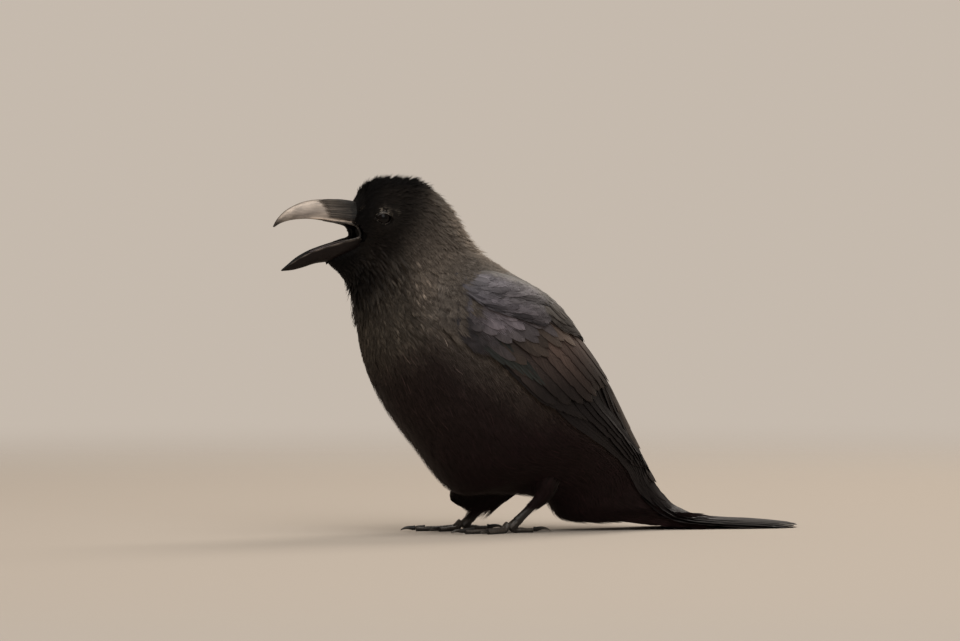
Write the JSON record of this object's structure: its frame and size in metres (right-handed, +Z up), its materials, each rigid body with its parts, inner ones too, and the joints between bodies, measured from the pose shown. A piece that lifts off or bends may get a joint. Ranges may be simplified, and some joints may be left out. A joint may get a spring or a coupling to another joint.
{
  "type": "large-billed crow",
  "caption": "Large-billed crow standing upright and calling, bill open, wings folded and tail down on the ground; a still, life-size bird.",
  "frame": {"origin": "on the ground, under the middle of the bird's outline", "axes": "-X the way the crow faces, +Y its right side, +Z up"},
  "size_m": [0.411, 0.1158, 0.2603],
  "materials": {
    "feather": "soft black body feathers with a weak sheen",
    "wing_feather": "black flight feathers with a blue-violet gloss",
    "horn": "satin black horn of the bill",
    "claw": "glossy dark horn",
    "leg_skin": "scaled black skin",
    "tongue_skin": "moist dark skin",
    "eye": "wet, very dark brown"
  },
  "bodies": {
    "root": {"head": "feather", "neck": "feather", "trunk": "feather", "tail": "feather", "upper_bill": "horn", "lower_bill": "horn", "tongue": "tongue_skin", "left_eye": "eye", "right_eye": "eye", "left_wing": "wing_feather", "left_secondaries": "wing_feather", "left_primaries": "wing_feather", "right_wing": "wing_feather", "right_secondaries": "wing_feather", "right_primaries": "wing_feather", "left_thigh": "feather", "right_thigh": "feather", "left_tarsus": "leg_skin", "right_tarsus": "leg_skin", "left_foot": "leg_skin", "right_foot": "leg_skin", "left_inner_claw": "claw", "left_middle_claw": "claw", "left_outer_claw": "claw", "left_hind_claw": "claw", "right_inner_claw": "claw", "right_middle_claw": "claw", "right_outer_claw": "claw", "right_hind_claw": "claw"}
  },
  "joints": []
}
